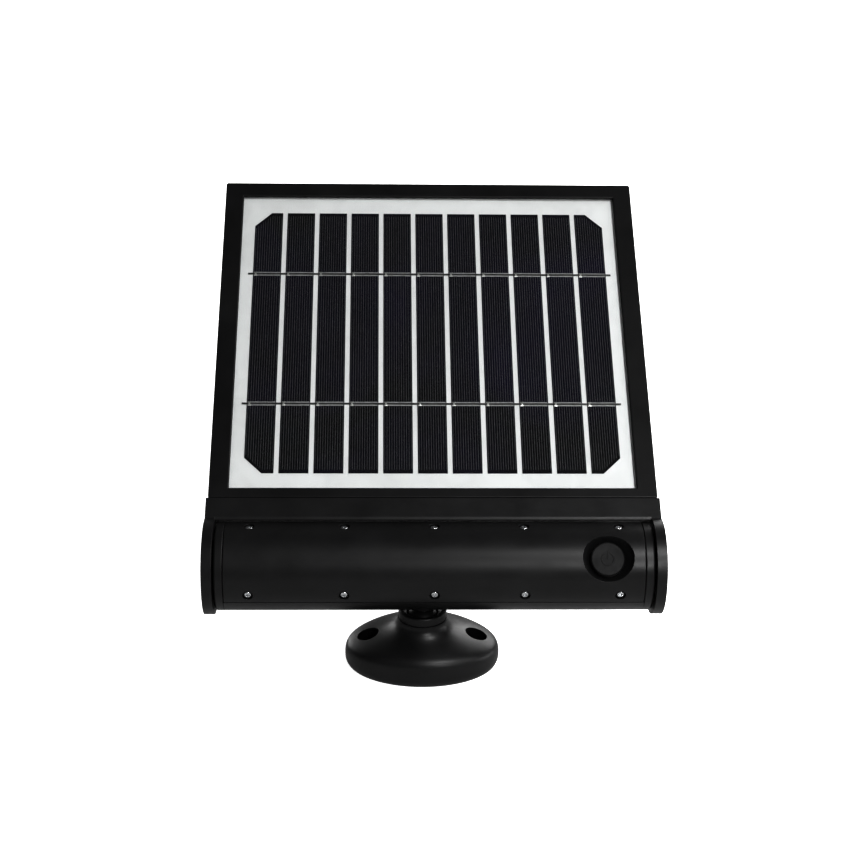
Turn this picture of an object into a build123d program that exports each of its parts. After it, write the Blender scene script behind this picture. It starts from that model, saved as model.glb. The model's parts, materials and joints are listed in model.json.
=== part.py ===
from build123d import *
import os
from math import acos, cos, degrees, hypot, radians, sin, sqrt

# Solar-powered security camera on a ball-joint bracket. Millimetres, +Z up.
# The origin is the middle of the bracket's underside. The front, with the power button, faces -Y.
#
# Two working frames:
#   tube frame   origin on the tube's axis at its middle; angles run from +Y towards +Z about +X
#   panel frame  same origin, X along the tube, Y up the panel's slope, Z out of the panel's face

# ---- Overall layout ----
TUBE_Z = 52.0                 # height of the tube's axis above the mounting surface
HEAD_X = 5.0                  # the stem is a little left of the tube's middle
BALL_Z = 21.7                 # ball centre above the mounting surface
PANEL_SLOPE = 35.0            # panel above the horizontal as stored

# ---- Tube housing ----
TUBE_R = 20.8
SHELL_IN = 17.0               # inner radius of the rear shell
COVER_IN = 17.7               # inner radius of the front cover
LEDGE_OUT = 17.2              # the seal lies on the ledge
LEDGE_IN = 15.2
TUBE_HALF = 98.0              # half length of shell and cover
TUBE_END = 102.2              # outer face of the end caps
COVER_MID = 141.5             # the cover faces forwards and 38.5 degrees up
COVER_HALF = 66.0
LEDGE_HALF = 43.0             # half angle of the window in the ledge
LEDGE_ROOT = 72.0
SEAM = 0.15
BAND = 5.0                    # width of the shell's inner end bands

# ---- Cover screws ----
SCREW_ANGLE = 52.0
SCREW_X = (-86.5, -42.0, 0.0, 42.0, 86.5)
SCREW_SHANK = 1.0
SCREW_HEAD = 1.75
SCREW_WELL = 2.5
SCREW_FLOOR = 19.3            # radius at which the heads seat

# ---- Power button ----
BUTTON_X = 80.5
BUTTON_R = 7.95
BUTTON_HOLE = 8.2
BUTTON_TOP = 17.4             # distance of the cap's face from the tube axis
DISH_CENTRE = 23.67           # the dish around the button is part of a sphere
DISH_R = 12.34
DISH_WALL = 1.8

# ---- Camera side, facing backwards and down ----
CAMERA_DIR = -30.0
BOARD_H = 7.0                 # inner face of the main board from the tube axis
BOARD_T = 1.6
LENS_HOLE = 9.5
LIGHT_X = (-24.0, 24.0)
LIGHT_R = 4.9
PIR_X = 46.0
PIR_R = 6.4
SPEAKER_X = -48.0
MIC_X = 62.0

# ---- Service port under a rubber flap ----
PORT_DIR = -62.0
PORT_X = -80.0
FLAP_L = 23.0
FLAP_W = 10.0
POCKET_FLOOR = 19.0
USB_X = -86.0
CARD_X = -75.0

# ---- Pivots between tube and panel arms ----
FLANGE_IN = 102.9
FLANGE_OUT = 107.6
FLANGE_R = 22.75
PIN_R = 4.0
PIN_BORE = 2.0
PIN_END = 106.0
LEAD_R = 0.4
LEAD_X = -106.5               # the lead crosses the left arm just outside the pin's end
LEAD_ANGLE = 13.0             # direction of the lead's bore in the panel frame
PIVOT_WELL = 8.05
PIVOT_WEB = 105.2             # floor of the well in each flange

# ---- Solar panel ----
FRAME_W = 213.5
PANEL_LOW = 28.7              # lower edge of the frame, up the slope from the tube axis
PANEL_HIGH = 218.1
FRAME_TOP = 14.8              # frame face above the tube axis, square to the panel
SPLIT = 8.3                   # joint between bezel and rear housing
HOUSING_LOW = 0.8
OPEN_HALF = 97.15
OPEN_LOW = 34.0
OPEN_HIGH = 209.5
LAP = 2.6                     # the bezel covers this much of the glass
GLASS_TOP = 13.3
GLASS_LOW = 12.0
SHEET_TOP = 11.5
SHEET_LOW = 11.0
WALL = 2.2
ARM_GAP_R = 21.7              # the arm bar clears the tube by 0.9 mm

# ---- Cells: one 156.75 mm wafer cut into strips ----
WAFER = 156.75
STRIPS = 11
STRIP_W = WAFER / STRIPS
STRIP_PITCH = 16.72
CELL_T = 0.3
CORNER = 8.5                  # cropped corners of the wafer
CELLS_LOW = OPEN_LOW + 9.5
RIBBON_T = 0.15
RIBBON_W = 1.0
RIBBON_OVER = 2.5             # ribbon beyond the outer strips
RIBBON_DOWN = (39.2, 117.6)   # ribbons from the array's top edge

# ---- Bracket ----
BASE_A = 37.0
BASE_B = 26.1
# Height and half axes of the foot's level curves, from the mounting face to the neck.
FOOT_LEVELS = ((0.0, 35.1, 24.1), (1.2, 36.2, 25.2), (3.4, 36.95, 25.95), (6.6, BASE_A, BASE_B),
               (9.6, 36.4, 26.2), (12.0, 33.8, 25.8), (14.2, 28.2, 24.2), (16.2, 21.8, 20.6),
               (18.4, 16.4, 16.2), (20.8, 13.2, 13.1), (24.8, 11.81, 11.8))
HOLE_X = 26.0
HOLE_R = 2.4
WELL_R = 5.2
BALL_R = 9.0
BALL_FIT = 0.06
NECK_R = 4.3
STUD_R = 3.0
BORE_R = 10.4
SEAT_R = 10.32
RING_R = 11.5
RING_TOP = 29.2
RING_LOW = 25.2
THROAT_LOW = 27.4             # the ring's mouth widens above this height
SKIRT_LOW = 19.6
SEAT_TOP = 19.4
SEAT_LOW = 10.95
SOCKET_FLOOR = 10.8
LIP_R = 7.6
STUD_X = -HEAD_X              # stud position along the tube, in the tube frame

TUBE = Pos(HEAD_X, 0, TUBE_Z)
PANEL = TUBE * Rot(PANEL_SLOPE, 0, 0)
BALL = Pos(0, 0, BALL_Z)


# ---------------------------------------------------------------- helpers
def polar(radius, angle):
    return (radius * cos(radians(angle)), radius * sin(radians(angle)))


def sector(r_in, r_out, start, end, x0, x1):
    """Ring sector about the tube axis between two angles, from x0 to x1."""
    mid = (start + end) / 2
    outline = [
        ThreePointArc(polar(r_out, start), polar(r_out, mid), polar(r_out, end)),
        Line(polar(r_out, end), polar(r_in, end)),
        ThreePointArc(polar(r_in, end), polar(r_in, mid), polar(r_in, start)),
        Line(polar(r_in, start), polar(r_out, start)),
    ]
    return Pos(x0, 0, 0) * extrude(Plane.YZ * make_face(outline), x1 - x0)


def radial(x, angle):
    """Place whose Z points outwards from the tube axis at this angle."""
    return Pos(x, 0, 0) * Rot(angle - 90, 0, 0)


def disc(radius, z0, z1):
    """Cylinder along Z between two heights."""
    return Pos(0, 0, z0) * Cylinder(radius, z1 - z0, align=(Align.CENTER, Align.CENTER, Align.MIN))


def ring(r_in, r_out, z0, z1):
    return disc(r_out, z0, z1) - disc(r_in, z0, z1)


def rod(radius, x0, x1):
    """Cylinder along X between two stations."""
    low, high = min(x0, x1), max(x0, x1)
    return Pos(low, 0, 0) * Rot(0, 90, 0) * disc(radius, 0, high - low)


def collar(r_in, r_out, x0, x1):
    return rod(r_out, x0, x1) - rod(r_in, x0, x1)


def block(x0, x1, y0, y1, z0, z1):
    """Box given by its two corners."""
    middle = Pos((x0 + x1) / 2, (y0 + y1) / 2, (z0 + z1) / 2)
    return middle * Box(x1 - x0, y1 - y0, z1 - z0)


def frame_bar(half_out, half_in, low_out, low_in, high_in, high_out, z0, z1):
    """Rectangular frame in the panel's plane."""
    outer = block(-half_out, half_out, low_out, high_out, z0, z1)
    return outer - block(-half_in, half_in, low_in, high_in, z0, z1)


def edges_where(shape, test):
    return shape.edges().filter_by(lambda edge: test(edge.center()))


def cross_screw(shank_r, head_r, head_low, head_high, tip):
    """Pan-head screw along Z with a cross recess; its head seats at head_low."""
    head = disc(head_r, head_low, head_high)
    head = fillet(head.edges().group_by(Axis.Z)[-1], 0.6 * (head_high - head_low))
    slot = head_r * 1.2
    depth = 0.6 * (head_high - head_low)
    cut = Pos(0, 0, head_high) * (Box(slot, 0.28 * head_r, 2 * depth) + Box(0.28 * head_r, slot, 2 * depth))
    return head - cut + disc(shank_r, tip, head_low)


def together(shapes):
    """Several separate solids as one node."""
    return Compound(children=[solid for shape in shapes for solid in shape.solids()])


# ---------------------------------------------------------------- bracket
def mount_base():
    """Oval foot that flares up into a round neck, with two screw wells and a socket for the ball."""
    body = loft([Pos(0, 0, z) * Ellipse(a, b) for z, a, b in FOOT_LEVELS])
    # Socket for seat, ball and clamp ring.
    body -= disc(BORE_R, SOCKET_FLOOR, RING_LOW)
    # The underside is cored out between rim, screw bosses, ribs and the middle column.
    core = extrude(Ellipse(BASE_A - 3.5, BASE_B - 3.5), 4.6)
    core -= disc(13.0, 0, 4.6)
    for side_x in (-HOLE_X, HOLE_X):
        core -= Pos(side_x, 0, 0) * disc(7.0, 0, 4.6)
    core -= Box(2 * BASE_A, 2.0, 12)
    core -= Box(2.0, 2 * BASE_B, 12)
    body -= core
    for side_x in (-HOLE_X, HOLE_X):
        body -= Pos(side_x, 0, 0) * (disc(HOLE_R, 0, 20) + disc(WELL_R, 7.0, 30))
    return body


def lock_ring():
    """Clamp ring: a gripped head above the neck and a threaded skirt inside it."""
    body = disc(RING_R, RING_LOW, RING_TOP) + disc(SEAT_R, SKIRT_LOW, RING_LOW)
    rim = edges_where(body, lambda c: abs(c.Z - RING_TOP) < 0.01)
    body = fillet(rim, 0.9)
    body -= BALL * Sphere(BALL_R + BALL_FIT)
    body -= disc(LIP_R, BALL_Z, RING_TOP)
    body -= disc(BALL_R + BALL_FIT, SKIRT_LOW - 1, BALL_Z)
    rise = RING_TOP - THROAT_LOW
    throat = Pos(0, 0, THROAT_LOW) * Cone(LIP_R, 9.5, rise, align=(Align.CENTER, Align.CENTER, Align.MIN))
    return body - throat


def ball_seat():
    """Nylon friction cup under the ball."""
    body = disc(SEAT_R, SEAT_LOW, SEAT_TOP)
    body -= BALL * Sphere(BALL_R + BALL_FIT)
    return body - disc(3.0, SEAT_LOW, BALL_Z - BALL_R + 1.5)


def ball_stud():
    """Ball, neck and threaded stud in one piece."""
    ball_low = BALL_Z - TUBE_Z
    body = Pos(STUD_X, 0, ball_low) * Sphere(BALL_R)
    body += Pos(STUD_X, 0, 0) * disc(NECK_R, ball_low, -21.0)
    return body + Pos(STUD_X, 0, 0) * disc(STUD_R, -21.0, -9.4)


def stud_nut():
    nut = extrude(RegularPolygon(5.0, 6, major_radius=False), 5.0)
    nut = Pos(STUD_X, 0, -15.5) * nut
    return nut - Pos(STUD_X, 0, 0) * disc(STUD_R, -16, -10)


# ---------------------------------------------------------------- tube housing
def speaker_holes():
    places = [(0, 0)] + [polar(3.4, 60 * k) for k in range(6)]
    return [Pos(x, y, 0) * disc(0.8, 14, 22) for x, y in places]


def port_pocket(clearance):
    """Flat-bottomed pocket in the shell, as wide as the flap plus this clearance."""
    length = FLAP_L / 2 + clearance
    width = FLAP_W / 2 + clearance
    return radial(PORT_X, PORT_DIR) * block(-length, length, -width, width, POCKET_FLOOR, 24)


def tube_shell():
    """Rear shell with the ledge for the cover, end bands, board posts and all openings."""
    low = COVER_MID + COVER_HALF
    high = COVER_MID - COVER_HALF + 360
    body = sector(SHELL_IN, TUBE_R, low, high, -TUBE_HALF, TUBE_HALF)
    # Ledge for the seal: a liner cut away behind, and opened into a window in front.
    band = TUBE_HALF - BAND
    body += collar(LEDGE_IN, LEDGE_OUT, -TUBE_HALF, TUBE_HALF)
    behind = COVER_MID + LEDGE_ROOT, COVER_MID - LEDGE_ROOT + 360
    body -= sector(LEDGE_IN - 1, SHELL_IN, *behind, -band, band)
    body -= sector(LEDGE_IN - 1, LEDGE_OUT + 1, COVER_MID - LEDGE_HALF, COVER_MID + LEDGE_HALF, -band, band)
    # Pads for the stud: a collar outside and a flat seat for the nut inside.
    stud = Pos(STUD_X, 0, 0)
    body += stud * disc(6.5, -21.0, -18.0)
    body += stud * disc(8.0, -18.5, -15.5)
    body -= stud * disc(STUD_R, -22, -14)
    # Posts that carry the main board.
    for x, y, top in board_posts():
        body += radial(x, CAMERA_DIR) * Pos(0, y, 0) * ring(0.9, 2.2, BOARD_H + BOARD_T, top)
    # Openings on the camera side.
    body -= radial(0, CAMERA_DIR) * disc(LENS_HOLE, 10, 24)
    for x in LIGHT_X:
        body -= radial(x, CAMERA_DIR) * disc(LIGHT_R, 10, 24)
    body -= radial(PIR_X, CAMERA_DIR) * disc(PIR_R, 10, 24)
    body -= radial(MIC_X, CAMERA_DIR) * disc(0.7, 14, 24)
    for hole in speaker_holes():
        body -= radial(SPEAKER_X, CAMERA_DIR) * hole
    body -= port_pocket(0.3)
    body -= radial(USB_X, PORT_DIR) * block(-4.5, 4.5, -1.65, 1.65, 10, 20)
    body -= radial(CARD_X, PORT_DIR) * block(-5.6, 5.6, -1.0, 1.0, 10, 20)
    for place in cover_screw_places():
        body -= place * disc(SCREW_SHANK, 14, 18)
    for place in end_screw_places():
        body -= place * disc(0.9, -6, 0)
    return body


def board_posts():
    """Stations of the posts: x, y in the camera frame, and height of the post's root."""
    return [(x, y, top) for x in (-62.0, 62.0) for y, top in ((3.0, 17.5), (-11.0, 14.0))]


def cover_screw_places():
    return [radial(x, COVER_MID + side * SCREW_ANGLE) for x in SCREW_X for side in (-1, 1)]


def front_cover():
    """Arc cover with screw wells and a dished recess for the button."""
    start = COVER_MID - COVER_HALF + degrees(SEAM / TUBE_R)
    end = COVER_MID + COVER_HALF - degrees(SEAM / TUBE_R)
    length = TUBE_HALF - SEAM
    body = sector(COVER_IN, TUBE_R, start, end, -length, length)
    body = chamfer(edges_where(body, on_tube_surface), 0.3)
    button = radial(BUTTON_X, COVER_MID)
    dish_centre = Pos(0, 0, DISH_CENTRE)
    bowl = dish_centre * Sphere(DISH_R + DISH_WALL)
    bowl = bowl & disc(TUBE_R, 5, 17.8)
    body += button * bowl & (rod(TUBE_R - 0.5, 40, 97) + rod(1, 40, 41))
    body -= button * dish_centre * Sphere(DISH_R)
    body -= button * disc(BUTTON_HOLE, 8, 18)
    for place in cover_screw_places():
        body -= place * (disc(SCREW_WELL, SCREW_FLOOR, 22) + disc(SCREW_SHANK + 0.1, 16, SCREW_FLOOR + 0.1))
    for side in (-11.0, 11.0):
        body += button * Pos(side, 0, 0) * disc(1.6, 5.0, 14.6)
    return body


def on_tube_surface(point):
    return hypot(point.Y, point.Z) > TUBE_R - 0.05 or (
        abs(abs(point.X) - TUBE_HALF) < 0.3 and hypot(point.Y, point.Z) > TUBE_R - 0.6)


def cover_gasket():
    """Flat silicone frame between ledge and cover."""
    edge = COVER_HALF - 0.6
    inner = LEDGE_HALF + 1.0
    body = sector(LEDGE_OUT, COVER_IN, COVER_MID - edge, COVER_MID + edge, -TUBE_HALF + 0.6, TUBE_HALF - 0.6)
    length = TUBE_HALF - BAND + 0.6
    body -= sector(LEDGE_OUT - 1, COVER_IN + 1, COVER_MID - inner, COVER_MID + inner, -length, length)
    for place in cover_screw_places():
        body -= place * disc(1.4, 15, 19)
    return body


def cover_screws():
    screw = cross_screw(SCREW_SHANK, SCREW_HEAD, SCREW_FLOOR, SCREW_FLOOR + 1.1, 14.2)
    return together([place * screw for place in cover_screw_places()])


def end_screw_places():
    """Three screws through each end cap into the shell's end band, Z out of the tube's end."""
    angles = (-10.0, 250.0, 140.0)
    places = []
    for side in (-1, 1):
        for angle in angles:
            y, z = polar(16.2, angle)
            places.append(Pos(side * TUBE_HALF, y, z) * Rot(0, side * 90, 0))
    return places


def end_cap(side):
    """Round end cap with a spigot, a seal groove and the bore for the pivot pin."""
    body = rod(TUBE_R, side * TUBE_HALF, side * TUBE_END)
    outer = edges_where(body, lambda c: abs(abs(c.X) - TUBE_END) < 0.01)
    body = fillet(outer, 1.0)
    inner = edges_where(body, lambda c: abs(abs(c.X) - TUBE_HALF) < 0.01)
    body = chamfer(inner, 0.3)
    body += collar(13.0, LEDGE_IN - 0.05, side * (TUBE_HALF - 4), side * TUBE_HALF)
    body -= collar(14.2, LEDGE_IN + 1, side * (TUBE_HALF - 3), side * (TUBE_HALF - 1.6))
    body -= rod(PIN_R, side * (TUBE_HALF - 1), side * (TUBE_END + 1))
    for place in end_screw_places():
        body -= place * (disc(1.1, -1, 6) + disc(2.0, 2.6, 6))
    return body


def end_seals():
    """Square-section seal rings on the two spigots."""
    return together([
        collar(14.2, LEDGE_IN - 0.02, side * (TUBE_HALF - 2.9), side * (TUBE_HALF - 1.7)) for side in (-1, 1)])


def end_cap_screws():
    screw = cross_screw(0.9, 1.8, 2.6, 3.7, -4.5)
    return together([place * screw for place in end_screw_places()])


def pivot_pins():
    """Hollow pivot pins: head inside each end cap, shank through the flange."""
    pins = []
    for side in (-1, 1):
        pin = rod(PIN_R, side * TUBE_HALF, side * PIN_END) + rod(6.0, side * (TUBE_HALF - 1.4), side * TUBE_HALF)
        pins.append(pin - rod(PIN_BORE, side * 96, side * 107))
    return together(pins)


def pivot_clips():
    """Push-on rings that keep the arms on the pins."""
    return together([collar(PIN_R, 6.4, side * 105.3, side * 105.9) for side in (-1, 1)])


# ---------------------------------------------------------------- inside the tube
CELL_Y, CELL_Z = -4.8, 3.0
CELL_R = 9.1
CELL_L = 65.0
CELL_MIDS = {"battery_cell_left": -39.7, "battery_cell_right": 26.3}


def battery_cell(middle):
    """Round lithium cell with a raised positive cap."""
    can = rod(CELL_R, middle - CELL_L / 2, middle + CELL_L / 2 - 0.8)
    can = fillet(can.edges(), 0.7)
    can += rod(3.0, middle + CELL_L / 2 - 0.9, middle + CELL_L / 2)
    return Pos(0, CELL_Y, CELL_Z) * can


def battery_cradle():
    """Half-round tray under both cells, with end walls."""
    half = sector(CELL_R + 0.25, CELL_R + 1.35, CAMERA_DIR - 85, CAMERA_DIR + 85, -74.6, 61.2)
    for x0, x1 in ((-74.6, -73.4), (60.0, 61.2)):
        half += sector(2.0, CELL_R + 1.35, CAMERA_DIR - 85, CAMERA_DIR + 85, x0, x1)
    return Pos(0, CELL_Y, CELL_Z) * half


def battery_contacts():
    """Nickel plates at both ends and between the cells."""
    places = ((-73.2, -72.3), (-7.1, -6.3), (58.9, 59.8))
    return together([Pos(0, CELL_Y, CELL_Z) * rod(4.0, x0, x1) for x0, x1 in places])


def main_board():
    board = block(-66, 66, -13.5, 5.0, BOARD_H, BOARD_H + BOARD_T)
    for x, y, top in board_posts():
        board -= Pos(x, y, 0) * disc(1.1, 5, 10)
    # Processor, radio can, charger and memory chips on the inner face.
    chips = ((-6, 6, -10, 2, 1.2), (16, 34, -12, 2, 1.8), (-34, -26, -8, 0, 1.0), (42, 50, -10, -2, 1.4))
    for x0, x1, y0, y1, height in chips:
        board += block(x0, x1, y0, y1, BOARD_H - height, BOARD_H)
    return radial(0, CAMERA_DIR) * board


def board_screws():
    screw = Rot(180, 0, 0) * cross_screw(0.9, 1.7, 0, 1.0, -4.8)
    places = [radial(x, CAMERA_DIR) * Pos(0, y, BOARD_H) for x, y, top in board_posts()]
    return together([place * screw for place in places])


def image_sensor():
    top = BOARD_H + BOARD_T
    return radial(0, CAMERA_DIR) * block(-3.2, 3.2, -3.2, 3.2, top, top + 0.8)


def lens_barrel():
    """Square holder on the board with a threaded lens barrel."""
    top = BOARD_H + BOARD_T
    body = block(-7, 7, -6.5, 5.0, top, top + 3) + disc(6.0, top + 2, 16.2)
    body -= block(-4, 4, -3.4, 3.4, top, top + 2)
    body -= disc(3.4, top, 17)
    body -= Pos(0, 0, 14.6) * Cone(3.4, 5.2, 1.8, align=(Align.CENTER, Align.CENTER, Align.MIN))
    return radial(0, CAMERA_DIR) * body


def lens_element():
    """Front element of the lens, a domed glass."""
    dome = Pos(0, 0, 10.2) * Sphere(5.2) & disc(3.4, 12.6, 16)
    return radial(0, CAMERA_DIR) * dome


def lens_bezel():
    """Round bezel that frames the lens window."""
    body = disc(LENS_HOLE, 15.2, 20.2)
    body = fillet(body.edges().group_by(Axis.Z)[-1], 0.9)
    body -= disc(8.0, 17.2, 21) + disc(6.8, 15, 21)
    return radial(0, CAMERA_DIR) * body


def lens_window():
    return radial(0, CAMERA_DIR) * disc(7.95, 17.2, 18.4)


def light_lenses():
    """Clear domed lenses of the two lights."""
    dome = disc(LIGHT_R, 15.6, 19.8) + (Pos(0, 0, 13.7) * Sphere(7.8) & disc(LIGHT_R, 19.7, 22))
    dome -= Pos(0, 0, 12.2) * Sphere(6.4)
    return together([radial(x, CAMERA_DIR) * dome for x in LIGHT_X])


def light_leds():
    top = BOARD_H + BOARD_T
    led = block(-2.5, 2.5, -2.5, 2.5, top, top + 1.0) + disc(1.9, top + 0.9, top + 1.5)
    return together([radial(x, CAMERA_DIR) * led for x in LIGHT_X])


def pir_dome():
    """Milky dome of the motion sensor."""
    centre = Pos(0, 0, 15.8)
    outside = centre * Sphere(7.5) & disc(PIR_R, 15.0, 23.0)
    inside = centre * Sphere(6.6) & disc(PIR_R - 0.9, 14.0, 22.0)
    return radial(PIR_X, CAMERA_DIR) * (outside - inside)


def pir_sensor():
    top = BOARD_H + BOARD_T
    body = disc(4.2, top, top + 3.4) + disc(4.7, top, top + 0.5)
    return radial(PIR_X, CAMERA_DIR) * body


def speaker():
    body = disc(8.2, 11.0, 14.2) + disc(4.6, 9.4, 11.0)
    body -= Pos(0, 0, 18.2) * Sphere(6.0)
    return radial(SPEAKER_X, CAMERA_DIR) * body


def button_board():
    board = block(-13, 13, -7, 7, 3.4, 5.0)
    return radial(BUTTON_X, COVER_MID) * board


def tact_switch():
    body = block(-3, 3, -3, 3, 5.0, 7.2)
    return radial(BUTTON_X, COVER_MID) * body


def charge_port():
    """Metal shell of the charging socket."""
    shell = block(-4.5, 4.5, -1.65, 1.65, 10.9, 17.9)
    shell = fillet(shell.edges().filter_by(Axis.Z), 1.5)
    hollow = block(-4.1, 4.1, -1.25, 1.25, 12.5, 18)
    hollow = fillet(hollow.edges().filter_by(Axis.Z), 1.1)
    tongue = block(-3.2, 3.2, -0.35, 0.35, 12.0, 17.2)
    return radial(USB_X, PORT_DIR) * (shell - hollow + tongue)


def card_slot():
    """Memory-card socket behind its slit."""
    body = block(-5.6, 5.6, -1.0, 1.0, 10.5, 17.6) - block(-5.2, 5.2, -0.45, 0.45, 11.5, 18)
    return radial(CARD_X, PORT_DIR) * body


def battery_lead():
    """Lead from the cell contacts to the main board."""
    route = [(61.9, 0.5, 2.2), (66.0, 0.5, 2.2), (68.5, 4.0, -0.5), (66.5, 5.6, -2.0)]
    return lead(route, 0.6, 1.0)


def lead(route, radius, bend):
    """Round lead along straight runs with rounded corners."""
    path = FilletPolyline(*route, radius=bend)
    start = Plane(origin=path @ 0, z_dir=path % 0)
    return sweep(start * Circle(radius), path=path)


# ---------------------------------------------------------------- moving small parts
def power_button():
    """Button cap with a retaining flange and a stem that works the switch."""
    cap = disc(BUTTON_R, 11.1, BUTTON_TOP)
    cap = fillet(cap.edges().group_by(Axis.Z)[-1], 0.7)
    body = cap + disc(8.9, 10.2, 11.1) + disc(1.4, 7.9, 10.2)
    # Raised power mark: an open ring and a bar.
    mark = ring(2.6, 3.2, BUTTON_TOP - 0.1, BUTTON_TOP + 0.15)
    mark -= block(-0.9, 0.9, 0.5, 5, BUTTON_TOP - 1, BUTTON_TOP + 1)
    mark += block(-0.3, 0.3, 0.2, 3.6, BUTTON_TOP - 0.1, BUTTON_TOP + 0.15)
    return radial(BUTTON_X, COVER_MID) * (body + mark)


def port_flap():
    """Rubber flap, flush with the tube, hinged along its upper edge."""
    slab = radial(PORT_X, PORT_DIR) * block(-FLAP_L / 2, FLAP_L / 2, -FLAP_W / 2, FLAP_W / 2,
                                            POCKET_FLOOR + 0.1, 24)
    body = slab & rod(TUBE_R, -100, -50)
    tab = radial(PORT_X, PORT_DIR) * block(-3.5, 3.5, 3.4, 4.6, 20.1, 21.1)
    return body + tab


# ---------------------------------------------------------------- panel
def arm_profile():
    """Side profile of the bar between the arms, in the panel frame's YZ plane."""
    round_r = 2.4
    flat_end = 18.4
    low_y = sqrt(ARM_GAP_R ** 2 - HOUSING_LOW ** 2)
    nose = (flat_end - round_r * sin(radians(50)), FRAME_TOP - round_r * (1 - cos(radians(50))))
    nose_mid = (flat_end - round_r * sin(radians(25)), FRAME_TOP - round_r * (1 - cos(radians(25))))
    foot_angle = degrees(acos(nose[0] / hypot(*nose)))
    foot = polar(ARM_GAP_R, foot_angle)
    return make_face([
        Line((28.4, FRAME_TOP), (flat_end, FRAME_TOP)),
        ThreePointArc((flat_end, FRAME_TOP), nose_mid, nose),
        Line(nose, foot),
        ThreePointArc(foot, polar(ARM_GAP_R, foot_angle / 2), (low_y, HOUSING_LOW)),
        Line((low_y, HOUSING_LOW), (28.4, HOUSING_LOW)),
        Line((28.4, HOUSING_LOW), (28.4, FRAME_TOP)),
    ])


def arm_plate(side):
    """Flange disc with its neck to the bar."""
    corner = (28.4, HOUSING_LOW)
    reach = hypot(*corner)
    tangent = degrees(acos(FLANGE_R / reach))
    low = polar(FLANGE_R, degrees(acos(corner[0] / reach)) - tangent)
    top_y = sqrt(FLANGE_R ** 2 - FRAME_TOP ** 2)
    outline = make_face(Polyline((0, 0), (top_y, FRAME_TOP), (28.4, FRAME_TOP), corner, low, close=True))
    profile = outline + Circle(FLANGE_R)
    start = FLANGE_IN if side > 0 else -FLANGE_OUT
    return Pos(start, 0, 0) * extrude(Plane.YZ * profile, FLANGE_OUT - FLANGE_IN)


def panel_screw_places():
    sides = [(x, y) for x in (-103.3, 103.3) for y in (42.0, 96.0, 152.0, 208.0)]
    return [Pos(x, y, 0) for x, y in sides + [(-45.0, 215.2), (45.0, 215.2)]]


def panel_housing():
    """Rear housing of the panel with the bar and the two arms that hold the tube."""
    half = FRAME_W / 2
    tray = block(-half, half, 28.4, PANEL_HIGH, HOUSING_LOW, SPLIT)
    tray = fillet(edges_where(tray, lambda c: c.Z < HOUSING_LOW + 0.1 and c.Y > 40), 1.6)
    tray = fillet(tray.edges().filter_by(Axis.Z).group_by(Axis.Y)[-1], 1.2)
    bar = Pos(-FLANGE_OUT, 0, 0) * extrude(Plane.YZ * arm_profile(), 2 * FLANGE_OUT)
    body = tray + bar + arm_plate(-1) + arm_plate(1)
    body -= block(-half + WALL, half - WALL, 31.1, PANEL_HIGH - WALL, 3.0, SPLIT)
    body -= block(-100, 100, 23.8, 27.0, 3.0, 12.2)
    body -= block(-100, 100, 26.9, 31.2, 3.0, 6.4)
    # Inner rib that carries the laminate.
    body += frame_bar(99.3, 96.6, 31.9, 34.4, 209.0, 211.6, 2.9, 9.6)
    body -= block(-61.5, -58.5, 31.0, 35.0, 3.0, 6.4)
    for place in panel_screw_places():
        body += place * disc(2.7, 2.9, SPLIT) & block(-106, 106, 0, 217.4, 0, 20)
    # Shallow fields between the ribs on the back.
    for column in (-1, 1):
        for row in range(3):
            low = 40.0 + row * 57.5
            centre = Pos(column * 48.5, low + 26.5, HOUSING_LOW)
            field = extrude(RectangleRounded(91.0, 53.0, 4.0), 0.7)
            body -= centre * field
    # Pivot wells, bores and the way for the lead through the left arm.
    for side in (-1, 1):
        body -= rod(PIVOT_WELL, side * PIVOT_WEB, side * 109)
        body -= rod(PIN_R + 0.06, side * 100, side * 109)
    body -= radial(LEAD_X, LEAD_ANGLE) * disc(LEAD_R + 0.1, 7, 26.0)
    body -= Pos(0, *polar(25.2, LEAD_ANGLE)) * rod(LEAD_R + 0.3, LEAD_X - 0.2, -99)
    for place in panel_screw_places():
        body -= place * (disc(1.4, 0, SPLIT) + disc(2.6, 0, 2.4))
    return body


def panel_bezel():
    """Front frame that clamps the glass."""
    half = FRAME_W / 2
    body = block(-half, half, PANEL_LOW, PANEL_HIGH, SPLIT, FRAME_TOP)
    body = fillet(body.edges().filter_by(Axis.Z), 1.2)
    body = fillet(body.edges().group_by(Axis.Z)[-1], 0.6)
    body = chamfer(body.edges().group_by(Axis.Z)[0], 0.3)
    opening = block(-OPEN_HALF, OPEN_HALF, OPEN_LOW, OPEN_HIGH, SPLIT - 1, FRAME_TOP + 1)
    body -= opening
    lap = LAP + 0.2
    body -= block(-OPEN_HALF - lap, OPEN_HALF + lap, OPEN_LOW - lap + 0.3, OPEN_HIGH + lap, SPLIT, GLASS_TOP)
    mouth = edges_where(body, lambda c: c.Z > FRAME_TOP - 0.01 and abs(c.X) < OPEN_HALF + 0.1 and
                        OPEN_LOW - 0.1 < c.Y < OPEN_HIGH + 0.1)
    body = chamfer(mouth, 0.5)
    for place in panel_screw_places():
        body -= place * disc(1.2, SPLIT - 1, 12.8)
    return body


def sheet_block(inset, z0, z1):
    """Flat sheet of the laminate's outline, drawn in by inset."""
    half = OPEN_HALF + LAP - inset
    return block(-half, half, OPEN_LOW - LAP + 0.4 + inset, OPEN_HIGH + LAP - inset, z0, z1)


def panel_seal():
    """Foam seal between the rib and the back of the laminate."""
    return frame_bar(99.3, 96.6, 31.9, 34.4, 209.0, 211.6, 9.6, SHEET_LOW)


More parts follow.
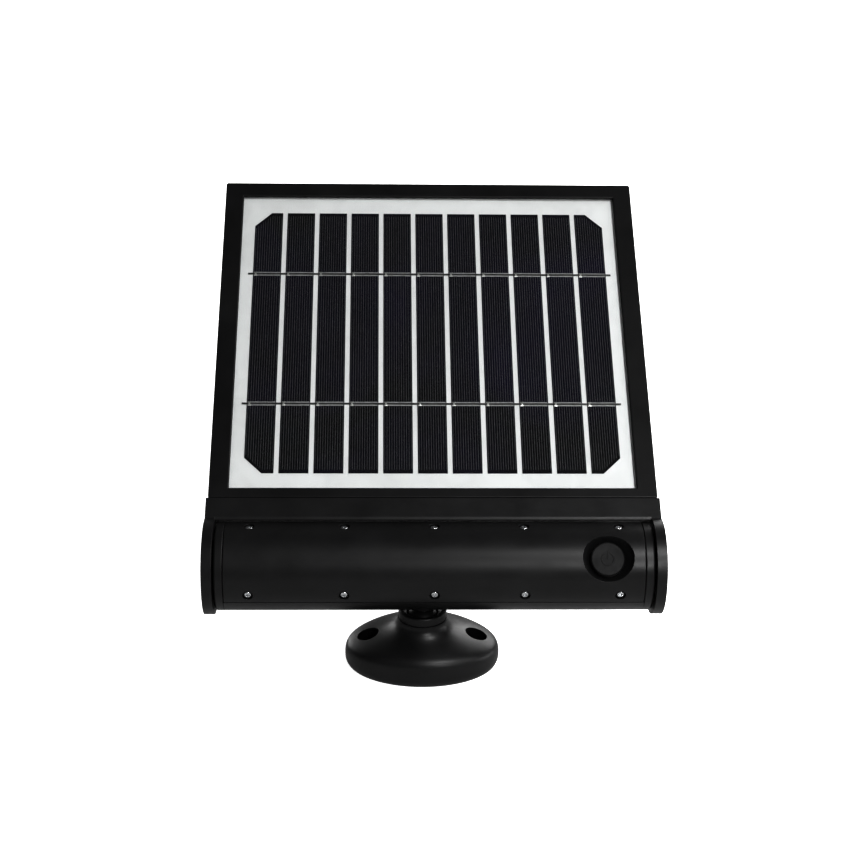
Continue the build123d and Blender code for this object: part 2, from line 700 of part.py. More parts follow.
def cell_strip(number):
    """One strip of the wafer; the outer two carry the wafer's cropped corners."""
    middle = (number - (STRIPS - 1) / 2) * STRIP_PITCH
    left, right = middle - STRIP_W / 2, middle + STRIP_W / 2
    low, high = CELLS_LOW, CELLS_LOW + WAFER
    crop_left = CORNER if number == 0 else 0.01
    crop_right = CORNER if number == STRIPS - 1 else 0.01
    points = [(left + crop_left, low), (right - crop_right, low), (right, low + crop_right),
              (right, high - crop_right), (right - crop_right, high), (left + crop_left, high),
              (left, high - crop_left), (left, low + crop_left)]
    outline = make_face(Polyline(*points, close=True))
    return Pos(0, 0, SHEET_TOP) * extrude(outline, CELL_T)


def cell_ribbons():
    """Two tinned ribbons across all strips."""
    half = (STRIPS - 1) / 2 * STRIP_PITCH + STRIP_W / 2 + RIBBON_OVER
    z = SHEET_TOP + CELL_T
    ribbons = []
    for down in RIBBON_DOWN:
        y = CELLS_LOW + WAFER - down
        ribbons.append(block(-half, half, y - RIBBON_W / 2, y + RIBBON_W / 2, z, z + RIBBON_T))
    return together(ribbons)


def terminal_box():
    """Potted box on the back of the laminate where the leads are soldered."""
    box = block(-72, -44, 50, 70, 5.0, SHEET_LOW)
    return fillet(box.edges().filter_by(Axis.Z), 2.0)


def panel_lead():
    """Lead from the terminal box through the left arm and the hollow pivot into the tube."""
    bend_y, bend_z = polar(25.2, LEAD_ANGLE)
    route = [(-60, 49.9, 4.6), (-60, bend_y, 4.6), (-70, bend_y, bend_z), (LEAD_X, bend_y, bend_z),
             (LEAD_X, 0, 0), (-92.0, 0, 0)]
    return lead(route, LEAD_R, 1.2)


def panel_screws():
    screw = Rot(180, 0, 0) * cross_screw(1.2, 2.4, -2.35, -1.2, -12.4)
    return together([place * screw for place in panel_screw_places()])


def friction_washers():
    """Washers that hold the panel where it is set."""
    return together([collar(PIN_R + 0.06, 9.0, side * (TUBE_END + 0.05), side * FLANGE_IN) for side in (-1, 1)])


def pivot_covers():
    """Snap-in discs over the pivot wells."""
    covers = []
    for side in (-1, 1):
        cover = rod(PIVOT_WELL, side * 107.0, side * FLANGE_OUT)
        covers.append(chamfer(edges_where(cover, lambda c: abs(abs(c.X) - FLANGE_OUT) < 0.01), 0.3))
    return together(covers)


# ---------------------------------------------------------------- the assembly
BRACKET_PARTS = {"mount_base": mount_base, "lock_ring": lock_ring, "ball_seat": ball_seat}

TUBE_PARTS = {
    "ball_stud": ball_stud, "stud_nut": stud_nut, "tube_shell": tube_shell, "front_cover": front_cover,
    "cover_gasket": cover_gasket, "cover_screws": cover_screws, "end_seals": end_seals,
    "end_cap_screws": end_cap_screws, "pivot_pins": pivot_pins, "pivot_clips": pivot_clips,
    "battery_cradle": battery_cradle, "battery_contacts": battery_contacts, "battery_lead": battery_lead,
    "main_board": main_board, "board_screws": board_screws, "image_sensor": image_sensor,
    "lens_barrel": lens_barrel, "lens_element": lens_element, "lens_bezel": lens_bezel,
    "lens_window": lens_window, "light_lenses": light_lenses, "light_leds": light_leds,
    "pir_dome": pir_dome, "pir_sensor": pir_sensor, "speaker": speaker,
    "button_board": button_board, "tact_switch": tact_switch, "charge_port": charge_port,
    "card_slot": card_slot, "power_button": power_button, "port_flap": port_flap,
}

PANEL_PARTS = {
    "panel_housing": panel_housing, "panel_bezel": panel_bezel, "panel_seal": panel_seal,
    "terminal_box": terminal_box, "panel_lead": panel_lead, "panel_screws": panel_screws,
    "friction_washers": friction_washers, "pivot_covers": pivot_covers,
    "cell_ribbons": cell_ribbons,
}


def assembly():
    """Every node's shape in the row frame."""
    nodes = {name: make() for name, make in BRACKET_PARTS.items()}
    for name, make in TUBE_PARTS.items():
        nodes[name] = TUBE * make()
    nodes["end_cap_left"] = TUBE * end_cap(-1)
    nodes["end_cap_right"] = TUBE * end_cap(1)
    for name, middle in CELL_MIDS.items():
        nodes[name] = TUBE * battery_cell(middle)
    for name, make in PANEL_PARTS.items():
        nodes[name] = PANEL * make()
    nodes["cover_glass"] = PANEL * sheet_block(0, GLASS_LOW, GLASS_TOP)
    nodes["backsheet"] = PANEL * sheet_block(0.3, SHEET_LOW, SHEET_TOP)
    for number in range(STRIPS):
        nodes[f"cell_strip_{number + 1:02d}"] = PANEL * cell_strip(number)
    return nodes


os.makedirs("parts", exist_ok=True)
for node_name, node_shape in assembly().items():
    export_step(node_shape, f"parts/{node_name}.step")
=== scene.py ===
import json
import bpy
import bmesh
from math import atan2, cos, pi, radians, sin
from mathutils import Matrix, Vector


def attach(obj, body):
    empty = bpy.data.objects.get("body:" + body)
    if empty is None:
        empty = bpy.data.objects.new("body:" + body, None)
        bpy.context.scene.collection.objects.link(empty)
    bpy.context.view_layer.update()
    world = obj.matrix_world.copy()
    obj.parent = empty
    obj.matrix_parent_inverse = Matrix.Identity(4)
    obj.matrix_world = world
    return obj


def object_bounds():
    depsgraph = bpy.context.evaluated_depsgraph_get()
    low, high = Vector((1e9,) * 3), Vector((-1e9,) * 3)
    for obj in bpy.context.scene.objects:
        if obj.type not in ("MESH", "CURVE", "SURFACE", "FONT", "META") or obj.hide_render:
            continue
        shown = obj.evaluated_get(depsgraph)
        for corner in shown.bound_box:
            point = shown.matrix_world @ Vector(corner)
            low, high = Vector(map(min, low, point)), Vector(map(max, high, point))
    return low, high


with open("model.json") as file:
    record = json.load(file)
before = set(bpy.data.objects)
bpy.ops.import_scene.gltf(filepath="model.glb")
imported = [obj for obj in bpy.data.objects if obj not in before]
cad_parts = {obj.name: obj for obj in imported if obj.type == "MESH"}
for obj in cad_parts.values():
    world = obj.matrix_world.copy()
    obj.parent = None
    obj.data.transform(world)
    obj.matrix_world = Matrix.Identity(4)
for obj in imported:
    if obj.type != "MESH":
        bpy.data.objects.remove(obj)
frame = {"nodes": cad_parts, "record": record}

# Solar-powered security camera on a ball-joint foot. Metres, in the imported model's frame:
# +Z up from the mounting surface, the front with the power button faces -Y.

CAD_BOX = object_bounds()
MM = 0.001
NODES = frame["nodes"]
RECORD = frame["record"]
JOINTS = {joint["name"]: joint for joint in RECORD["behaviour"]["joints"]}
SLOT_OF = {part["node"]: part["material_slot"] for part in RECORD["subparts"]}


# ---------------------------------------------------------------- frames of reference
def face_slope(node):
    """Angle of a flat sheet's big face above the horizontal."""
    face = max(NODES[node].data.polygons, key=lambda polygon: polygon.area)
    normal = face.normal if face.normal.z > 0 else -face.normal
    return atan2(-normal.y, normal.z)


AXIS = Vector(JOINTS["panel_tilt"]["pos_m"])
SLOPE = face_slope("backsheet")
# The panel's own frame: X along the tube, Y up the slope, Z out of its face.
PANEL = Matrix.Translation(AXIS) @ Matrix.Rotation(SLOPE, 4, "X")


def panel_box(node):
    """Lowest and highest corners of a node in the panel's frame."""
    inverse = PANEL.inverted()
    points = [inverse @ vertex.co for vertex in NODES[node].data.vertices]
    low = Vector(min(point[axis] for point in points) for axis in range(3))
    high = Vector(max(point[axis] for point in points) for axis in range(3))
    return low, high


# ---------------------------------------------------------------- shader building
class Shader:
    """A material's node tree with short calls for the nodes that it uses."""

    def __init__(self, name):
        self.material = bpy.data.materials.new(name)
        self.material.use_nodes = True
        self.tree = self.material.node_tree
        self.tree.nodes.clear()
        self.coords = self.node("ShaderNodeTexCoord").outputs["Object"]

    def node(self, kind, **settings):
        made = self.tree.nodes.new(kind)
        for key, value in settings.items():
            setattr(made, key, value)
        return made

    def link(self, source, target):
        self.tree.links.new(source, target)

    def feed(self, socket, value):
        """Links an output, or sets a plain value."""
        if isinstance(value, bpy.types.NodeSocket):
            self.link(value, socket)
        else:
            socket.default_value = value

    def noise(self, scale, detail=3.0, rough=0.5, coords=None, distortion=0.0):
        made = self.node("ShaderNodeTexNoise")
        self.link(coords or self.coords, made.inputs["Vector"])
        made.inputs["Scale"].default_value = scale
        made.inputs["Detail"].default_value = detail
        made.inputs["Roughness"].default_value = rough
        made.inputs["Distortion"].default_value = distortion
        return made.outputs["Fac"]

    def cells(self, scale, feature="F1", output="Distance"):
        made = self.node("ShaderNodeTexVoronoi", feature=feature)
        self.link(self.coords, made.inputs["Vector"])
        made.inputs["Scale"].default_value = scale
        return made.outputs[output]

    def stretched(self, factors):
        """The coordinates multiplied by different factors, for brushed or drawn surfaces."""
        made = self.node("ShaderNodeVectorMath", operation="MULTIPLY")
        self.link(self.coords, made.inputs[0])
        made.inputs[1].default_value = factors
        return made.outputs[0]

    def ramp(self, value, start, end, low=0.0, high=1.0):
        made = self.node("ShaderNodeMapRange")
        self.feed(made.inputs["Value"], value)
        made.inputs["From Min"].default_value = start
        made.inputs["From Max"].default_value = end
        made.inputs["To Min"].default_value = low
        made.inputs["To Max"].default_value = high
        return made.outputs["Result"]

    def math(self, operation, first, second=0.0):
        made = self.node("ShaderNodeMath", operation=operation)
        self.feed(made.inputs[0], first)
        self.feed(made.inputs[1], second)
        return made.outputs[0]

    def mix(self, factor, first, second):
        made = self.node("ShaderNodeMix", data_type="RGBA")
        self.feed(made.inputs[0], factor)
        self.feed(made.inputs[6], first)
        self.feed(made.inputs[7], second)
        return made.outputs[2]

    def bump(self, height, distance, strength=1.0, normal=None):
        made = self.node("ShaderNodeBump")
        self.link(height, made.inputs["Height"])
        made.inputs["Distance"].default_value = distance
        made.inputs["Strength"].default_value = strength
        if normal is not None:
            self.link(normal, made.inputs["Normal"])
        return made.outputs["Normal"]

    def soft_edges(self, radius):
        """Normals rounded over sharp edges, and a mask of those edges."""
        bevel = self.node("ShaderNodeBevel", samples=4)
        bevel.inputs["Radius"].default_value = radius
        geometry = self.node("ShaderNodeNewGeometry")
        dot = self.node("ShaderNodeVectorMath", operation="DOT_PRODUCT")
        self.link(bevel.outputs["Normal"], dot.inputs[0])
        self.link(geometry.outputs["Normal"], dot.inputs[1])
        mask = self.ramp(dot.outputs["Value"], 0.995, 0.8)
        return bevel.outputs["Normal"], mask

    def surface(self, **values):
        """Principled surface; uniform values are set on the shader's own sockets."""
        made = self.node("ShaderNodeBsdfPrincipled")
        for key, value in values.items():
            self.feed(made.inputs[key.replace("_", " ")], value)
        return made.outputs["BSDF"]

    def finish(self, shader):
        self.link(shader, self.node("ShaderNodeOutputMaterial").inputs["Surface"])
        return self.material


def grey(value):
    return (value, value, value, 1.0)


def shade(colour, factor):
    return tuple(min(1.0, channel * factor) for channel in colour) + (1.0,)


def moulded(name, colour, rough, spread=0.35, grain=2600.0, depth=0.018, specular=0.5, wear=0.25, dust=0.02):
    """Injection-moulded plastic: fine texture, cloudy colour, polished edges and a little dust."""
    s = Shader(name)
    clouds = s.noise(38.0, 4.0, 0.55)
    body = s.mix(s.ramp(clouds, 0.32, 0.68), shade(colour, 1 - spread), shade(colour, 1 + spread))
    normal, edges = s.soft_edges(0.25 * MM)
    worn = s.math("MULTIPLY", edges, s.ramp(s.noise(420.0, 3.0), 0.35, 0.65, 0.1, wear))
    body = s.mix(worn, body, shade(colour, 3.2))
    specks = s.ramp(s.noise(1500.0, 2.0), 0.62, 0.78, 0.0, dust)
    film = s.ramp(s.noise(17.0, 5.0, 0.6, distortion=0.8), 0.45, 0.8, 0.0, dust)
    body = s.mix(s.math("MAXIMUM", specks, film), body, shade((0.11, 0.108, 0.1), 1.0))
    gloss = s.ramp(s.noise(60.0, 4.0, 0.6), 0.3, 0.7, rough - 0.05, rough + 0.05)
    gloss = s.math("ADD", gloss, s.ramp(s.noise(900.0, 2.0), 0.3, 0.7, -0.02, 0.02))
    pits = s.math("ADD", s.noise(grain, 2.0, 0.6), s.cells(grain * 0.55))
    bumped = s.bump(pits, depth * MM, 0.35, normal)
    bumped = s.bump(s.noise(22.0, 2.0), 0.05 * MM, 0.25, bumped)
    return s.finish(s.surface(Base_Color=body, Roughness=gloss, Normal=bumped, Specular_IOR_Level=specular))


def soft_rubber(name, colour, rough, sheen=0.15, specular=0.4):
    """Silicone or soft-touch rubber with fine talc in the pores."""
    s = Shader(name)
    body = s.mix(s.ramp(s.noise(90.0, 4.0), 0.3, 0.7), shade(colour, 0.7), shade(colour, 1.35))
    normal, edges = s.soft_edges(0.3 * MM)
    body = s.mix(s.math("MULTIPLY", edges, 0.3), body, shade(colour, 2.4))
    talc = s.ramp(s.noise(2100.0, 3.0), 0.6, 0.8, 0.0, 0.1)
    body = s.mix(talc, body, shade((0.12, 0.12, 0.12), 1.0))
    gloss = s.ramp(s.noise(240.0, 3.0), 0.3, 0.7, rough - 0.05, rough + 0.05)
    pores = s.bump(s.noise(3200.0, 2.0), 0.02 * MM, 0.4, normal)
    return s.finish(s.surface(Base_Color=body, Roughness=gloss, Normal=pores, Sheen_Weight=sheen,
                              Sheen_Roughness=0.4, Specular_IOR_Level=specular))


def metal(name, colour, rough, brushed=(1.0, 1.0, 1.0), tarnish=0.2):
    """Plated or drawn metal with fine scratches and a slight tarnish."""
    s = Shader(name)
    stain = s.ramp(s.noise(260.0, 5.0, 0.65), 0.4, 0.75, 0.0, tarnish)
    body = s.mix(stain, shade(colour, 1.0), shade(colour, 0.45))
    normal, edges = s.soft_edges(0.12 * MM)
    body = s.mix(s.math("MULTIPLY", edges, 0.4), body, shade(colour, 1.25))
    lines = s.noise(2400.0, 3.0, 0.6, s.stretched(brushed))
    gloss = s.ramp(lines, 0.3, 0.7, rough - 0.07, rough + 0.09)
    scratched = s.bump(lines, 0.012 * MM, 0.5, normal)
    return s.finish(s.surface(Base_Color=body, Metallic=1.0, Roughness=gloss, Normal=scratched))


def clear(name, tint, haze=0.0, ior=1.5, rough=0.02, smear=0.0):
    """Thin clear sheet or lens: light passes straight through a tint, with a mirror coat on top."""
    s = Shader(name)
    smudge = s.ramp(s.noise(55.0, 5.0, 0.65, distortion=1.2), 0.45, 0.8, 0.0, 1.0)
    through = s.node("ShaderNodeBsdfTransparent")
    s.feed(through.inputs["Color"], s.mix(smudge, shade(tint, 1.0), shade(tint, 0.97)))
    mirror = s.node("ShaderNodeBsdfGlossy")
    s.feed(mirror.inputs["Roughness"], s.ramp(smudge, 0.0, 1.0, rough, rough + 0.12))
    s.feed(mirror.inputs["Normal"], s.bump(s.noise(120.0, 2.0), 0.01 * MM, 0.2))
    veil = s.surface(Base_Color=(0.75, 0.77, 0.78, 1.0), Roughness=0.6)
    fresnel = s.node("ShaderNodeFresnel")
    fresnel.inputs["IOR"].default_value = ior
    inner = s.node("ShaderNodeMixShader")
    s.feed(inner.inputs[0], s.math("ADD", haze, s.math("MULTIPLY", smudge, smear)))
    s.link(through.outputs[0], inner.inputs[1])
    s.link(veil, inner.inputs[2])
    outer = s.node("ShaderNodeMixShader")
    s.link(fresnel.outputs[0], outer.inputs[0])
    s.link(inner.outputs[0], outer.inputs[1])
    s.link(mirror.outputs[0], outer.inputs[2])
    return s.finish(outer.outputs[0])


def silicon_cell():
    """Textured silicon under a dark anti-reflection layer, bluer in places."""
    s = Shader("silicon_cell")
    drift = s.noise(11.0, 3.0, 0.6, distortion=0.6)
    body = s.mix(s.ramp(drift, 0.4, 0.72), (0.0016, 0.0016, 0.0022, 1.0), (0.0046, 0.0026, 0.015, 1.0))
    band = s.ramp(s.noise(34.0, 2.0, 0.5), 0.55, 0.78, 0.0, 0.5)
    body = s.mix(band, body, (0.0014, 0.0042, 0.009, 1.0))
    crystal = s.cells(1900.0, "F1", "Color")
    bright = s.node("ShaderNodeRGBToBW")
    s.link(crystal, bright.inputs[0])
    body = s.mix(s.ramp(bright.outputs[0], 0.3, 0.9, 0.0, 0.25), body, (0.005, 0.005, 0.008, 1.0))
    gloss = s.ramp(s.noise(300.0, 3.0), 0.3, 0.7, 0.42, 0.52)
    etched = s.bump(s.cells(3600.0), 0.01 * MM, 0.4)
    return s.finish(s.surface(Base_Color=body, Roughness=gloss, Normal=etched, Specular_IOR_Level=0.07))


def silver_print(name, colour, rough=0.5):
    """Screen-printed silver paste on the cells."""
    s = Shader(name)
    body = s.mix(s.ramp(s.noise(700.0, 3.0), 0.3, 0.7), shade(colour, 0.75), shade(colour, 1.2))
    gloss = s.ramp(s.noise(1600.0, 2.0), 0.3, 0.7, rough - 0.08, rough + 0.1)
    rough_print = s.bump(s.noise(5200.0, 2.0), 0.01 * MM, 0.5)
    return s.finish(s.surface(Base_Color=body, Roughness=gloss, Metallic=0.15, Normal=rough_print))


def white_sheet():
    """White back film with the faint weave and yellowing of laminated foil."""
    s = Shader("white_backsheet")
    yellowing = s.ramp(s.noise(14.0, 4.0, 0.6), 0.35, 0.7)
    body = s.mix(yellowing, (0.78, 0.778, 0.776, 1.0), (0.75, 0.75, 0.744, 1.0))
    specks = s.ramp(s.noise(900.0, 2.0), 0.70, 0.80, 0.0, 0.25)
    body = s.mix(specks, body, (0.55, 0.55, 0.54, 1.0))
    gloss = s.ramp(s.noise(80.0, 3.0), 0.3, 0.7, 0.45, 0.6)
    weave = s.bump(s.noise(1300.0, 2.0), 0.02 * MM, 0.4)
    return s.finish(s.surface(Base_Color=body, Roughness=gloss, Normal=weave))


def milky_dome():
    """Translucent polyethylene lens with its moulded facets; painted shade darkens the grooves along the
    facet edges.
    """
    s = Shader("milky_dome")
    facets = s.cells(620.0, "DISTANCE_TO_EDGE")
    lines = s.ramp(facets, 0.0, 0.06, 1.0, 0.0)
    body = s.mix(s.ramp(s.noise(160.0, 3.0), 0.3, 0.7), (0.70, 0.71, 0.70, 1.0), (0.82, 0.83, 0.82, 1.0))
    # Painted shade: the base colour along the facet-edge grooves is mixed 40% toward a darker grey.
    body = s.mix(s.math("MULTIPLY", lines, 0.4), body, (0.5, 0.51, 0.5, 1.0))
    relief = s.bump(s.ramp(facets, 0.0, 0.25), 0.08 * MM, 0.6)
    gloss = s.ramp(s.noise(500.0, 2.0), 0.3, 0.7, 0.3, 0.42)
    return s.finish(s.surface(Base_Color=body, Roughness=gloss, Normal=relief, Subsurface_Weight=0.25,
                              Subsurface_Scale=0.002))


def circuit_board():
    """Green solder mask with copper tracks faintly showing."""
    s = Shader("circuit_board")
    tracks = s.ramp(s.cells(260.0, "DISTANCE_TO_EDGE"), 0.03, 0.06, 1.0, 0.0)
    body = s.mix(s.ramp(s.noise(50.0, 3.0), 0.3, 0.7), (0.010, 0.085, 0.030, 1.0), (0.018, 0.13, 0.05, 1.0))
    body = s.mix(tracks, body, (0.05, 0.22, 0.07, 1.0))
    gloss = s.ramp(s.noise(400.0, 3.0), 0.3, 0.7, 0.24, 0.34)
    raised = s.bump(tracks, 0.03 * MM, 0.6)
    return s.finish(s.surface(Base_Color=body, Roughness=gloss, Normal=raised))


def glossy_sleeve(name, colour, rough=0.25):
    """Smooth PVC, phosphor or shrink film with a slight ripple."""
    s = Shader(name)
    body = s.mix(s.ramp(s.noise(110.0, 4.0), 0.3, 0.7), shade(colour, 0.75), shade(colour, 1.2))
    gloss = s.ramp(s.noise(350.0, 3.0), 0.3, 0.7, rough - 0.06, rough + 0.08)
    ripple = s.bump(s.noise(420.0, 2.0), 0.03 * MM, 0.4)
    return s.finish(s.surface(Base_Color=body, Roughness=gloss, Normal=ripple, Coat_Weight=0.2))


def coated_lens():
    """Lens glass with a purple-green anti-reflection coat over a dark barrel."""
    s = Shader("coated_lens")
    bloom = s.ramp(s.noise(160.0, 2.0), 0.35, 0.65)
    body = s.mix(bloom, (0.010, 0.004, 0.022, 1.0), (0.003, 0.012, 0.016, 1.0))
    gloss = s.ramp(s.noise(700.0, 2.0), 0.3, 0.7, 0.03, 0.08)
    return s.finish(s.surface(Base_Color=body, Roughness=gloss, Specular_IOR_Level=0.8, Coat_Weight=0.6,
                              Coat_Tint=(0.72, 0.6, 1.0, 1.0), Coat_Roughness=0.03))


SATIN = (0.0058, 0.0058, 0.0061)
LOOKS = {
    "black_plastic": moulded("black_plastic_satin", SATIN, 0.40, specular=0.34),
    "frame_plastic": moulded("frame_plastic_satin", SATIN, 0.44, grain=3000.0, depth=0.014, specular=0.22),
    "button_rubber": soft_rubber("button_soft_touch", (0.006, 0.006, 0.0063), 0.55, 0.04, 0.2),
    "black_rubber": soft_rubber("black_silicone", (0.014, 0.014, 0.0145), 0.6),
    "seal_silicone": soft_rubber("grey_silicone", (0.12, 0.12, 0.125), 0.55),
    "foam": soft_rubber("closed_cell_foam", (0.03, 0.03, 0.03), 0.85, 0.3),
    "nylon": moulded("natural_nylon", (0.56, 0.54, 0.48), 0.42, spread=0.08, wear=0.1, dust=0.03),
    "steel": metal("zinc_plated_steel", (0.56, 0.57, 0.58), 0.24, tarnish=0.35),
    "glass": clear("solar_glass", (0.985, 0.99, 0.99), 0.002, 1.22, 0.05, 0.003),
    "window_glass": clear("smoked_window", (0.30, 0.30, 0.32), 0.0, 1.5, 0.02),
    "lens_glass": coated_lens(),
    "clear_lens": clear("moulded_acrylic", (0.92, 0.94, 0.95), 0.12, 1.49, 0.04),
    "milky_lens": milky_dome(),
    "backsheet": white_sheet(),
    "silicon": silicon_cell(),
    "tinned_ribbon": metal("tinned_ribbon", (0.17, 0.17, 0.165), 0.30, (0.05, 1.0, 1.0), 0.45),
    "board": circuit_board(),
    "lamp": glossy_sleeve("led_phosphor", (0.82, 0.66, 0.14), 0.35),
    "cell_wrap": glossy_sleeve("battery_sleeve", (0.05, 0.16, 0.42)),
    "dark_plastic": moulded("glass_filled_nylon", (0.014, 0.014, 0.014), 0.5, grain=1500.0, depth=0.05),
    "lead_pvc": glossy_sleeve("lead_pvc", (0.28, 0.012, 0.012)),
}
PASTE = silver_print("silver_paste", (0.33, 0.33, 0.33))
FINGER = silver_print("finger_paste", (0.20, 0.20, 0.205))
SOLDER = metal("solder_joint", (0.80, 0.80, 0.78), 0.36, tarnish=0.15)


def dress_nodes():
    """Gives every CAD node its slot's finish."""
    for name, node in NODES.items():
        node.data.materials.clear()
        node.data.materials.append(LOOKS[SLOT_OF[name]])


# ---------------------------------------------------------------- meshes added to the CAD
def panel_piece(name, build, material):
    """Piece on the panel, built in the panel's frame in millimetres from the tube's axis."""
    mesh = bpy.data.meshes.new(name)
    form = bmesh.new()
    build(form)
    bmesh.ops.recalc_face_normals(form, faces=form.faces[:])
    bmesh.ops.transform(form, matrix=PANEL, verts=form.verts[:])
    form.to_mesh(mesh)
    form.free()
    mesh.materials.append(material)
    piece = bpy.data.objects.new(name, mesh)
    bpy.context.scene.collection.objects.link(piece)
    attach(piece, "panel")
    return piece


def add_strip(form, x0, x1, y0, y1, z0, z1):
    """Flat printed strip with its upper edges drawn in, so that it has no knife edge."""
    inset = min(x1 - x0, y1 - y0) * 0.18
    rings = []
    for grow, z in ((0.0, z0), (0.0, z0 + (z1 - z0) * 0.5), (inset, z1)):
        left, right, near, far = x0 + grow, x1 - grow, y0 + grow, y1 - grow
        corners = ((left, near), (right, near), (right, far), (left, far))
        rings.append([form.verts.new((x, y, z)) for x, y in corners])
    join_rings(form, rings)


def join_rings(form, rings):
    """Walls between rings of vertices, closed at both ends."""
    for lower, upper in zip(rings, rings[1:]):
        count = len(lower)
        for k in range(count):
            form.faces.new((lower[k], lower[(k + 1) % count], upper[(k + 1) % count], upper[k]))
    form.faces.new(rings[0][::-1])
    form.faces.new(rings[-1])


def add_pad(form, x, y, half_x, half_y, z0, height, lean):
    """Domed solder joint, a little uneven."""
    rings = []
    steps = 20
    for level in (0.0, 0.35, 0.7, 0.92):
        scale = (1 - level ** 2.2) ** 0.5
        ring = []
        for k in range(steps):
            angle = 2 * pi * k / steps
            wobble = 1 + 0.07 * sin(3 * angle + lean) + 0.04 * sin(5 * angle - 2 * lean)
            round_x = abs(cos(angle)) ** 0.6 * (1 if cos(angle) > 0 else -1)
            round_y = abs(sin(angle)) ** 0.6 * (1 if sin(angle) > 0 else -1)
            ring.append(form.verts.new((x + half_x * scale * wobble * round_x,
                                        y + half_y * scale * wobble * round_y, z0 + height * level)))
        rings.append(ring)
    join_rings(form, rings)


STRIP_NAMES = sorted(name for name in NODES if name.startswith("cell_strip_"))
STRIP_BOXES = [panel_box(name) for name in STRIP_NAMES]
RIBBON_LOW, RIBBON_HIGH = panel_box("cell_ribbons")
FINGERS = 12
FINGER_W = 0.085 * MM
FINGER_T = 0.02 * MM
FINGER_END = 1.9 * MM
BUSBAR_HALF = 1.15 * MM
BUSBAR_SIDE = 0.35 * MM
RIBBON_HALF = 0.5 * MM
PAD_FROM = 0.4 * MM
PAD_TO = 2.1 * MM


def ribbon_lines():
    """Heights up the slope of the two ribbons' middles."""
    return RIBBON_LOW.y + RIBBON_HALF, RIBBON_HIGH.y - RIBBON_HALF


def corner_crop(number):
    """Length of the wafer's cropped corner, read from an outer strip's outline."""
    low, high = STRIP_BOXES[number]
    inverse = PANEL.inverted()
    points = [inverse @ vertex.co for vertex in NODES[STRIP_NAMES[number]].data.vertices]
    outer_x = low.x if number == 0 else high.x
    side = [point.y for point in points if abs(point.x - outer_x) < 0.05 * MM]
    return min(side) - low.y


def build_fingers(form):
    """Fine printed lines up each strip, cut short where the wafer's corner is cropped."""
    last = len(STRIP_BOXES) - 1
    for number, (low, high) in enumerate(STRIP_BOXES):
        pitch = (high.x - low.x) / FINGERS
        crop = corner_crop(number) if number in (0, last) else 0.0
        for k in range(FINGERS):
            x = low.x + (k + 0.5) * pitch
            from_outer = x - low.x if number == 0 else high.x - x
            short = max(0.0, crop - from_outer) + FINGER_END
            add_strip(form, x - FINGER_W / 2, x + FINGER_W / 2, low.y + short, high.y - short,
                      high.z, high.z + FINGER_T)


def build_busbars(form):
    """Broad printed bar under each ribbon, one on each strip."""
    for low, high in STRIP_BOXES:
        for y in ribbon_lines():
            add_strip(form, low.x + BUSBAR_SIDE, high.x - BUSBAR_SIDE, y - BUSBAR_HALF, y + BUSBAR_HALF,
                      high.z, high.z + 2 * FINGER_T)


def build_end_pads(form):
    """Wider bare pad at the left end of every busbar."""
    for low, high in STRIP_BOXES:
        for y in ribbon_lines():
            for side in (-1, 1):
                inner, outer = y + side * RIBBON_HALF, y + side * (BUSBAR_HALF + 0.1 * MM)
                add_strip(form, low.x + PAD_FROM, low.x + PAD_TO, min(inner, outer), max(inner, outer),
                          high.z + FINGER_T, high.z + 4 * FINGER_T)


def build_solder(form):
    """Solder joint at the left end of every busbar."""
    for number, (low, high) in enumerate(STRIP_BOXES):
        for row, y in enumerate(ribbon_lines()):
            add_pad(form, low.x + 1.25 * MM, y, 0.8 * MM, 1.15 * MM, high.z + FINGER_T, 0.165 * MM,
                    number * 1.7 + row * 2.3)


# ---------------------------------------------------------------- floor, light and camera
FLOOR_HALF = 14.0
FLOOR_GAP = 0.05 * MM
CAMERA_PLACE = Vector((-0.02023, -0.72342, 0.44400))
CAMERA_TURN = radians(-1.933)
CAMERA_DROP = radians(24.103)
CAMERA_ROLL = radians(0.903)
CAMERA_LENS = 72.0
CAMERA_SENSOR = 36.0


def make_floor():
    """White table that looks bright and lights the part's underside only faintly."""
    s = Shader("floor_white")
    tone = s.mix(s.noise(2.0), (0.88, 0.88, 0.88, 1.0), (0.9, 0.9, 0.9, 1.0))
    seen = s.surface(Base_Color=tone, Roughness=0.9, Specular_IOR_Level=0.0,
                     Emission_Color=grey(1.0), Emission_Strength=0.9)
    dim = s.surface(Base_Color=grey(0.5), Roughness=0.9, Specular_IOR_Level=0.0,
                    Emission_Color=grey(1.0), Emission_Strength=0.15)
    choice = s.node("ShaderNodeMixShader")
    s.link(s.node("ShaderNodeLightPath").outputs["Is Camera Ray"], choice.inputs[0])
    s.link(dim, choice.inputs[1])
    s.link(seen, choice.inputs[2])
    material = s.finish(choice.outputs[0])
    mesh = bpy.data.meshes.new("floor")
    corners = [(x * FLOOR_HALF, y * FLOOR_HALF, 0) for x, y in ((-1, -1), (1, -1), (1, 1), (-1, 1))]
    mesh.from_pydata(corners, [], [(0, 1, 2, 3)])
    mesh.materials.append(material)
    floor = bpy.data.objects.new("floor", mesh)
    floor.location.z = CAD_BOX[0][2] - FLOOR_GAP
    bpy.context.scene.collection.objects.link(floor)


def soft_box(name, turn, rise, away, size, level):
    """Soft box seen from the tube's middle at these angles; its power grows with level and distance."""
    middle = Vector((AXIS.x, 0.0, AXIS.z))
    turn, rise = radians(turn), radians(rise)
    place = middle + away * Vector((sin(turn) * cos(rise), -cos(turn) * cos(rise), sin(rise)))
    data = bpy.data.lights.new(name, "AREA")
    data.shape = "RECTANGLE"
    data.size, data.size_y = size
    data.energy = level * (pi * away) ** 2
    lamp = bpy.data.objects.new(name, data)
    lamp.location = place
    lamp.rotation_euler = (middle - place).to_track_quat("-Z", "Y").to_euler()
    bpy.context.scene.collection.objects.link(lamp)


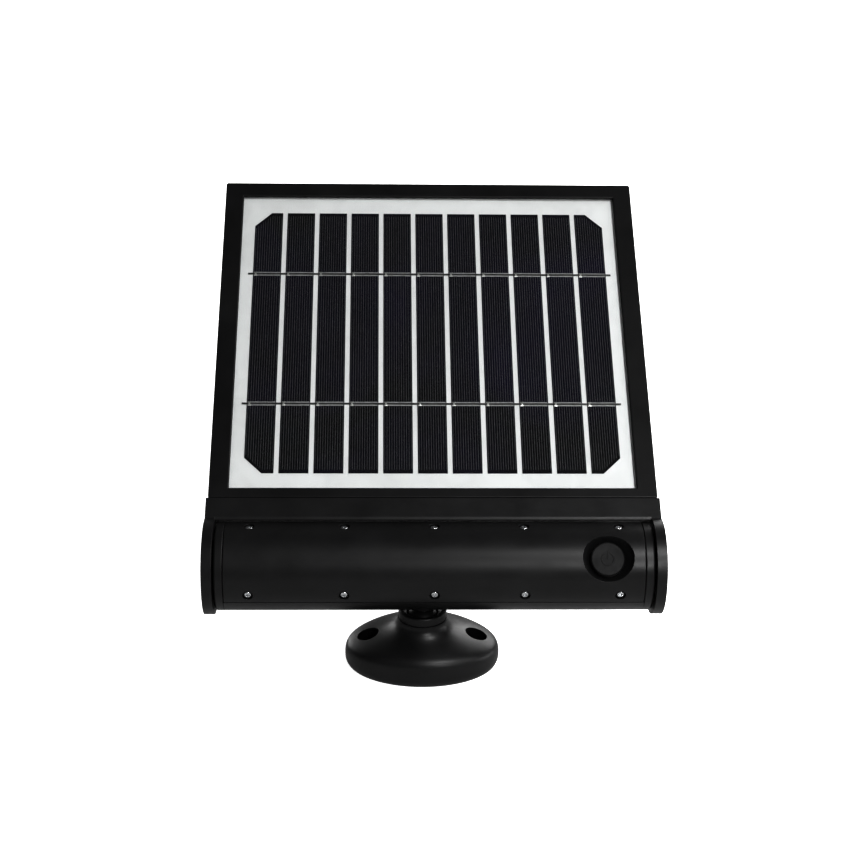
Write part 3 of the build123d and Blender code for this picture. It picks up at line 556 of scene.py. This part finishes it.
def make_light():
    soft_box("key", 21.0, 30.0, 0.9, (0.13, 0.13), 0.44)
    soft_box("high", 38.0, 54.0, 0.9, (0.10, 0.10), 0.62)
    soft_box("side", 96.0, 20.0, 1.3, (0.7, 1.5), 1.35)
    soft_box("back", 150.0, 22.0, 1.2, (0.6, 0.5), 0.5)
    soft_box("back_left", 215.0, 10.0, 1.2, (0.5, 0.5), 0.3)
    world = bpy.data.worlds.new("studio")
    world.use_nodes = True
    tree = world.node_tree
    tree.nodes.clear()
    path = tree.nodes.new("ShaderNodeLightPath")
    dim = tree.nodes.new("ShaderNodeBackground")
    dim.inputs["Color"].default_value = grey(1.0)
    dim.inputs["Strength"].default_value = 0.2
    seen = tree.nodes.new("ShaderNodeBackground")
    seen.inputs["Color"].default_value = grey(1.0)
    seen.inputs["Strength"].default_value = 1.0
    choice = tree.nodes.new("ShaderNodeMixShader")
    tree.links.new(path.outputs["Is Camera Ray"], choice.inputs[0])
    tree.links.new(dim.outputs[0], choice.inputs[1])
    tree.links.new(seen.outputs[0], choice.inputs[2])
    tree.links.new(choice.outputs[0], tree.nodes.new("ShaderNodeOutputWorld").inputs["Surface"])
    bpy.context.scene.world = world
    view = bpy.context.scene.view_settings
    view.view_transform = "Standard"
    view.gamma = 0.75


def make_camera():
    """Looks down at the front, a little from the left."""
    turn, drop, roll = CAMERA_TURN, CAMERA_DROP, CAMERA_ROLL
    ahead = Vector((-sin(turn) * cos(drop), cos(turn) * cos(drop), -sin(drop)))
    right = Vector((cos(turn), sin(turn), 0.0))
    up = right.cross(ahead)
    right, up = right * cos(roll) + up * sin(roll), up * cos(roll) - right * sin(roll)
    data = bpy.data.cameras.new("camera")
    data.lens = CAMERA_LENS
    data.sensor_width = CAMERA_SENSOR
    data.clip_start = 0.01
    camera = bpy.data.objects.new("camera", data)
    place = Matrix((right, up, -ahead)).transposed().to_4x4()
    place.translation = CAMERA_PLACE
    camera.matrix_world = place
    bpy.context.scene.collection.objects.link(camera)
    bpy.context.scene.camera = camera


dress_nodes()
panel_piece("cell_fingers", build_fingers, FINGER)
panel_piece("cell_busbars", build_busbars, PASTE)
panel_piece("busbar_end_pads", build_end_pads, SOLDER)
panel_piece("solder_joints", build_solder, SOLDER)
make_floor()
make_light()
make_camera()
